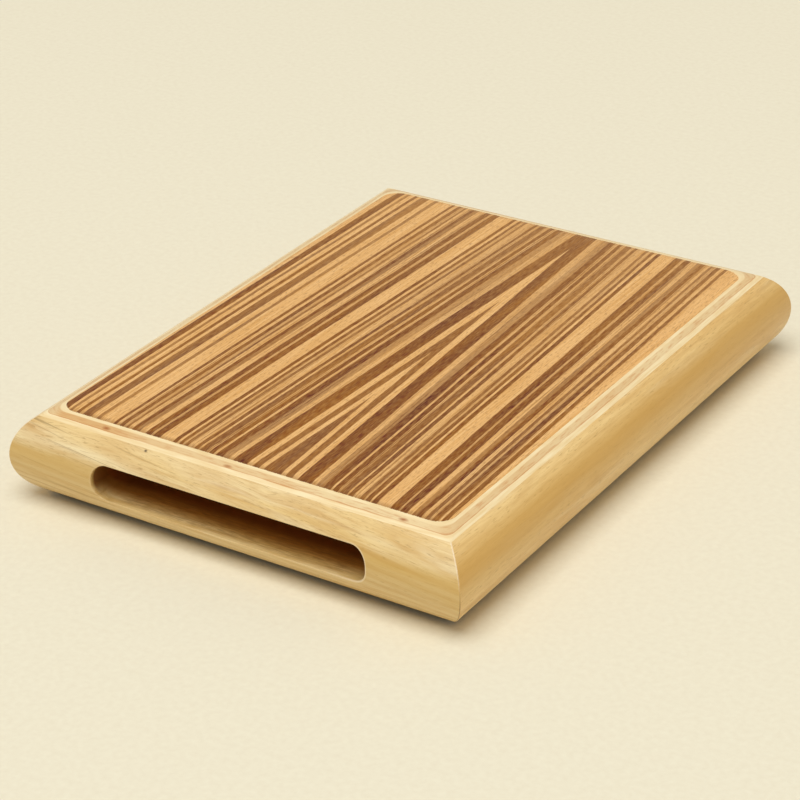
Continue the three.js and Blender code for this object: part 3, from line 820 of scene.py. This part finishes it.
# %% [markdown]
# The rear rail has a seat for each tension screw: a counterbore for the head and washer, a hole for
# the shank, and a pocket for the block on the inside. Each half of the rail is again a doughnut of
# loops, here counted by angle about the screw. The two halves share the points at the middle of the
# rail, so equal points are made one, and the wall between the halves is left out.

# %% The rear rail
SCREW_X, SCREW_Z = 40.0, HEIGHT / 2
BORE, SHANK_HOLE = 5.3, 2.8
BORE_EASE = 0.5
BORE_STEPS, BORE_ROWS, BORE_TRIM = 96, 14, 0.024  # the trim is a share of the half height
SEAT_Y, POCKET_Y = -148.0, -139.0
POCKET = np.array([10.3, 6.3])
MIDDLE = 1e-3  # a face nearer than this to X = 0 lies in the wall between the halves
around = np.arange(BORE_STEPS) / BORE_STEPS * 2 * np.pi
circle = np.stack([np.cos(around), np.sin(around)])
square = circle / np.abs(circle).max(0)
screw_place = np.array([[SCREW_X], [SCREW_Z]])


def half_rail_loop(trim, turn, end=None):
    """The outline of the half rail with X above zero, where rays from the screw at each angle, bent
    to a square, meet it."""
    across, up = square
    z = SCREW_Z + up * np.where(up > 0, RAIL_TOP - SCREW_Z, SCREW_Z - RAIL_LOW) * (1 - trim)
    reach = straight_end(z) + ridge_radius(z) * math.sin(turn) if end is None else end
    return np.stack([SCREW_X + across * np.where(across > 0, reach - SCREW_X, SCREW_X), z])


ridge_rows = [on_face(half_rail_loop(BORE_TRIM * share, turn)) for share, turn in ridge]
shares = 1 - (1 - np.linspace(0, 1, BORE_ROWS + 1)[1:]) ** 2
face_loops = between(half_rail_loop(BORE_TRIM, 0), screw_place + circle * (BORE + BORE_EASE), shares)
face_rows = [on_face(loop) for loop in face_loops]
bore, shank = screw_place + circle * BORE, screw_place + circle * SHANK_HOLE
rim = on_face(bore)
pocket = screw_place + square * POCKET[:, None]
inner_rows = between(pocket, half_rail_loop(0, 0, inner_end), THIRDS)
half = np.concatenate([
    ridge_rows,
    face_rows,
    eased(face_rows[-1], rim, rim + (0, BORE_EASE, 0), INNER_STEPS),
    [at_depth(bore, SEAT_Y), at_depth(shank, SEAT_Y), at_depth(shank, POCKET_Y)],
    [at_depth(pocket, POCKET_Y), at_depth(pocket, inner_y)],
    [at_depth(loop, inner_y) for loop in inner_rows],
])
quads = grid_quads(*half.shape[:2], close_rows=True)
mirrored = half * (-1, 1, 1)
both = np.concatenate([half.reshape(-1, 3), mirrored.reshape(-1, 3)]) * half_turn
quads = np.concatenate([quads, quads[:, ::-1] + half.shape[0] * half.shape[1]])
both, index = np.unique(np.round(both, 4), axis=0, return_inverse=True)
quads = index.reshape(-1)[quads]
quads = quads[np.abs(both[quads][:, :, 0]).max(1) > MIDDLE]
add_piece("rear_rail_wood", "rear_rail", "rail_wood", both, quads.tolist(), end_rail_wood)

# %% [markdown]
# Inside the box the screws, washers and strings are steel, and the blocks and string stops are brass.
# Zinc-plated steel is bright with a faint cloudiness, and turned brass has fine rings; both come from
# a noise in the roughness and a little in the colour.


# %% The metals
def metal(name, light, dull, grit, roughness):
    """A metal whose colour and roughness vary a little with a noise of the given grit in mm."""
    finish, tree, shader, place = new_finish(name, roughness, Metallic=1.0)
    cloud = add_node(tree, "TexNoise", {"Vector": place, "Scale": 1 / grit, "Detail": 3})
    colour = add_node(tree, "Mix", [cloud, linear(light), linear(dull)], data_type="RGBA")
    rough = add_node(tree, "MapRange", [cloud, 0.3, 0.7, roughness - 0.08, roughness + 0.1])
    tree.links.new(rough.outputs[0], shader.inputs["Roughness"])
    link_surface(tree, shader, colour, cloud, 0.05, 0.05)
    print(name, "grit", grit, "mm")
    return finish


zinc = metal("zinc_plated_steel", "#cfd2d6", "#a9adb2", 0.8, 0.3)
wire = metal("drawn_steel_wire", "#c9cbcd", "#96999c", 0.5, 0.28)
brass = metal("sawn_brass", "#d9b45f", "#b38a3a", 0.6, 0.34)

# %% [markdown]
# A tension screw is an M5 hex-socket cap screw. It is a stack of rings along Y: tip, thread, head and
# socket. The thread is a ring's radius that falls and rises once in each pitch, and the place where it
# does so moves round with the angle, which makes the helix. The socket's ring is a hexagon.

# %% The tension screws
HEAD_UNDER_Y = 149.1
SCREW_LENGTH, SCREW_RADIUS, PITCH = 30.0, 2.5, 0.8
HEAD_RADIUS, HEAD_HEIGHT, HEAD_EASE = 4.25, 5.0, 0.5
SOCKET, SOCKET_DEPTH = 4.0, 2.5
THREAD_DEPTH, CHAMFER, SHANK = 0.43, 0.6, 4.0
SMALL = 0.2  # the ring that closes the tip and the socket's floor
SIDES = ("left", -1), ("right", 1)
RING_STEPS = 48
turns = np.arange(RING_STEPS) / RING_STEPS * 2 * np.pi


def screw_rows():
    """Rows of the screw from tip to socket, its axis at zero: a radius for each angle and place
    along Y."""
    threaded = np.arange(CHAMFER - SCREW_LENGTH, -SHANK, PITCH / 6)
    phase = (threaded[:, None] / PITCH - turns / (2 * np.pi)) % 1
    thread = SCREW_RADIUS - THREAD_DEPTH * np.abs(2 * phase - 1)
    hexagon = SOCKET / 2 / np.cos(turns % (np.pi / 3) - np.pi / 6)
    plain = np.array([
        (0.1 - SHANK, SCREW_RADIUS), (0, SCREW_RADIUS), (0, HEAD_RADIUS - 0.15), (0.15, HEAD_RADIUS),
        (HEAD_HEIGHT - HEAD_EASE, HEAD_RADIUS), (HEAD_HEIGHT - 0.15, HEAD_RADIUS - 0.12),
        (HEAD_HEIGHT, HEAD_RADIUS - HEAD_EASE), (HEAD_HEIGHT, 2.75),
    ])
    socket = HEAD_HEIGHT - np.array([0.25, SOCKET_DEPTH, SOCKET_DEPTH + 0.8])
    along = np.concatenate([[-SCREW_LENGTH, -SCREW_LENGTH], threaded, plain[:, 0], socket])
    ring = np.ones((1, RING_STEPS))
    radius = np.concatenate([
        ring * SMALL, ring * (SCREW_RADIUS - CHAMFER), thread, ring * plain[:, 1:],
        ring * hexagon, ring * hexagon, ring * SMALL,
    ])
    return np.stack([radius * np.cos(turns), ring * along[:, None], -radius * np.sin(turns)], -1)


rows = screw_rows()
faces = capped_quads(*rows.shape[:2])
for side, sign in SIDES:
    placed = rows + (sign * SCREW_X, HEAD_UNDER_Y, SCREW_Z)
    add_piece(
        f"screw_{side}_threaded", f"tension_screw_{side}", "steel", placed, faces, zinc, f"{side}_screw"
    )

# %% [markdown]
# A washer is a small profile carried round the screw: a rectangle with its outer corners rolled over,
# as punching leaves it.

# %% The washers
WASHER_Y, WASHER_THICKNESS, WASHER_RADIUS, WASHER_HOLE = 148.0, 1.0, 5.0, 2.8
profile = np.array([
    (WASHER_HOLE, 0), (WASHER_RADIUS - 0.1, 0), (WASHER_RADIUS, 0.1),
    (WASHER_RADIUS, WASHER_THICKNESS - 0.25), (WASHER_RADIUS - 0.07, WASHER_THICKNESS - 0.07),
    (WASHER_RADIUS - 0.25, WASHER_THICKNESS), (WASHER_HOLE, WASHER_THICKNESS),
])
radius, along = profile[:, :1], profile[:, 1:]
rows = np.stack(np.broadcast_arrays(radius * np.cos(turns), along, -radius * np.sin(turns)), -1)
faces = grid_quads(*rows.shape[:2], close_rows=True).tolist()
for side, sign in SIDES:
    placed = rows + (sign * SCREW_X, WASHER_Y, SCREW_Z)
    add_piece(f"washer_{side}_punched", f"screw_washer_{side}", "steel", placed, faces, zinc)

# %% [markdown]
# A string is a round wire along a path: from its stop in the front cleat up to the bar, over the bar's
# crown, and down to the tension block. In the drum its rear end moves with the block.

# %% The snare strings
STRING_RADIUS = 0.4
BAR_Y, CROWN_Z, CROWN_RADIUS = 87.0, 34.2, 6.7
STRING_FRONT, STRING_MOUTH, STRING_END = (-121.9, 37.6), (125.5, 25.5), (132.3, 25.5)
STRING_PLACES = -46, -34, 34, 46
WIRE_STEPS = 16
ring = np.arange(WIRE_STEPS) / WIRE_STEPS * 2 * np.pi


def string_path():
    """The wire's middle line in Y and Z: straight to the crown, an arc between the two tangents, and
    straight on to the block."""
    crown = np.array([BAR_Y, CROWN_Z])
    front, mouth = np.array(STRING_FRONT) - crown, np.array(STRING_MOUTH) - crown
    first = math.atan2(front[1], front[0]) - math.acos(CROWN_RADIUS / np.hypot(*front))
    second = math.atan2(mouth[1], mouth[0]) + math.acos(CROWN_RADIUS / np.hypot(*mouth))
    angle = np.linspace(first, second, 9)
    arc = crown + CROWN_RADIUS * np.stack([np.cos(angle), np.sin(angle)], -1)
    return np.concatenate([[STRING_FRONT], arc, [STRING_MOUTH, STRING_END]])


path = string_path()
steps = np.diff(path, axis=0)
steps /= np.linalg.norm(steps, axis=1, keepdims=True)
ahead = np.concatenate([steps[:1], steps[:-1] + steps[1:], steps[-1:]])
ahead /= np.linalg.norm(ahead, axis=1, keepdims=True)
upward = np.stack([-ahead[:, 1], ahead[:, 0]], -1)
line = path[:, None] + STRING_RADIUS * np.cos(ring)[None, :, None] * upward[:, None]
across = np.broadcast_to(STRING_RADIUS * np.sin(ring), line.shape[:2])
rows = np.concatenate([across[..., None], line], -1)
faces = capped_quads(*rows.shape[:2])
for number, x in enumerate(STRING_PLACES, 1):
    piece = add_piece(
        f"string_{number}_wire", f"snare_string_{number}", "steel", rows + (x, 0, 0), faces, wire, None
    )
    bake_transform(piece)

# %% [markdown]
# The other inside pieces keep their CAD shape: cleat, bar and mitre tongues of planed hardwood, brass
# blocks and stops. Planed wood is left bare, so it is rougher than the rails.

# %% The pieces inside
bare_wood, tree, shader, place = new_finish("planed_beech_bare", 0.6)
figure = stretched_noise(tree, place, (60, 1.5, 1.5), 4)
flecks = stretched_noise(tree, place, (3, 0.4, 0.4), 1, 0.6, 0.75, 0, 0.5)
wood = add_node(tree, "Mix", [figure, linear("#e3bd8a"), linear("#c29a66")], data_type="RGBA")
wood = layer(tree, wood, "#9a6c3c", flecks)
link_surface(tree, shader, wood, figure, 0.15, 0.2)
inside = {"mitre_spline": bare_wood, "front_anchor": bare_wood, "snare_bar": bare_wood,
          "string_stop": brass, "tension_block": brass}
for name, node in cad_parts.items():
    finish = next((f for start, f in inside.items() if name.startswith(start)), None)
    if finish and not node.hide_render:
        node.data.materials.clear()
        node.data.materials.append(finish)
        print(name, "is", finish.name)

# %% [markdown]
# The drum lies on plain cream paper that fills the picture. The paper is a large flat sheet with a
# faint tooth, and it isn't part of the drum.

# %% The floor
paper, tree, shader, place = new_finish("cream_paper", 0.75, Specular_IOR_Level=0.2)
tooth = add_node(tree, "TexNoise", {"Vector": place, "Scale": 1 / 3, "Detail": 4})
colour = add_node(tree, "Mix", [tooth, linear("#f6f2dc"), linear("#ebe4cd")], data_type="RGBA")
link_surface(tree, shader, colour, tooth, 0.1, 0.2)
FLOOR = 5000.0
corners = np.array([(-1, -1, 0), (1, -1, 0), (1, 1, 0), (-1, 1, 0)]) * FLOOR
floor = make_mesh("paper_floor", corners, [[0, 1, 2, 3]], paper)

# %% [markdown]
# The light is a plain studio: a dim even surround, and one large softbox above, a little to the front
# right. Their strengths are set so that a flat colour facing up renders about as it is written.

# %% Light
SURROUND = 0.42
SOFTBOX_PLACE, SOFTBOX_SIZE, SOFTBOX_WATTS = (0.5, -2.3, 8.2), 6.2, 508  # metres and watts
scene = bpy.context.scene
scene.view_settings.view_transform = "Standard"
world = bpy.data.worlds.new("studio_surround")
world.use_nodes = True
background = world.node_tree.nodes["Background"]
background.inputs["Color"].default_value = linear("#fff6e8")
background.inputs["Strength"].default_value = SURROUND
scene.world = world
light = bpy.data.lights.new("softbox_above", "AREA")
light.size, light.energy = SOFTBOX_SIZE, SOFTBOX_WATTS
lamp = bpy.data.objects.new("softbox_above", light)
lamp.location = SOFTBOX_PLACE
lamp.rotation_mode = "QUATERNION"
lamp.rotation_quaternion = lamp.location.to_track_quat("Z", "Y")
scene.collection.objects.link(lamp)
print(lamp.name, "watts:", SOFTBOX_WATTS)

# %% [markdown]
# The camera stands to the right of the slotted end and looks down at the drum. Its place was fitted to
# the photographed edges: a turn about the drum, a height above the floor, a distance and a slight tilt
# of the picture. The lens follows from the field of view on a 36 mm sensor.

# %% Camera
AZIMUTH, ELEVATION, ROLL = (math.radians(v) for v in (33.75, 28.27, -1.82))
DISTANCE, AIM = 1311.42, np.array([-18.9, 13.32, 0])
FOCAL_PIXELS, PICTURE = 2713.57, 800
level = np.array([math.sin(AZIMUTH), -math.cos(AZIMUTH), 0])
back = level * math.cos(ELEVATION) + (0, 0, math.sin(ELEVATION))
right = np.array([math.cos(AZIMUTH), math.sin(AZIMUTH), 0])
up = np.cross(back, right)
tilted_right = right * math.cos(ROLL) + up * math.sin(ROLL)
tilted_up = up * math.cos(ROLL) - right * math.sin(ROLL)
lens = bpy.data.cameras.new("camera")
lens.sensor_width = 36.0
lens.lens = FOCAL_PIXELS / PICTURE * lens.sensor_width
camera = bpy.data.objects.new("camera", lens)
stand = np.eye(4)
stand[:3] = np.stack([tilted_right, tilted_up, back, (AIM + back * DISTANCE) * MM], -1)
camera.matrix_world = Matrix(stand)
scene.collection.objects.link(camera)
scene.camera = camera
print("lens:", round(lens.lens, 1), "mm")
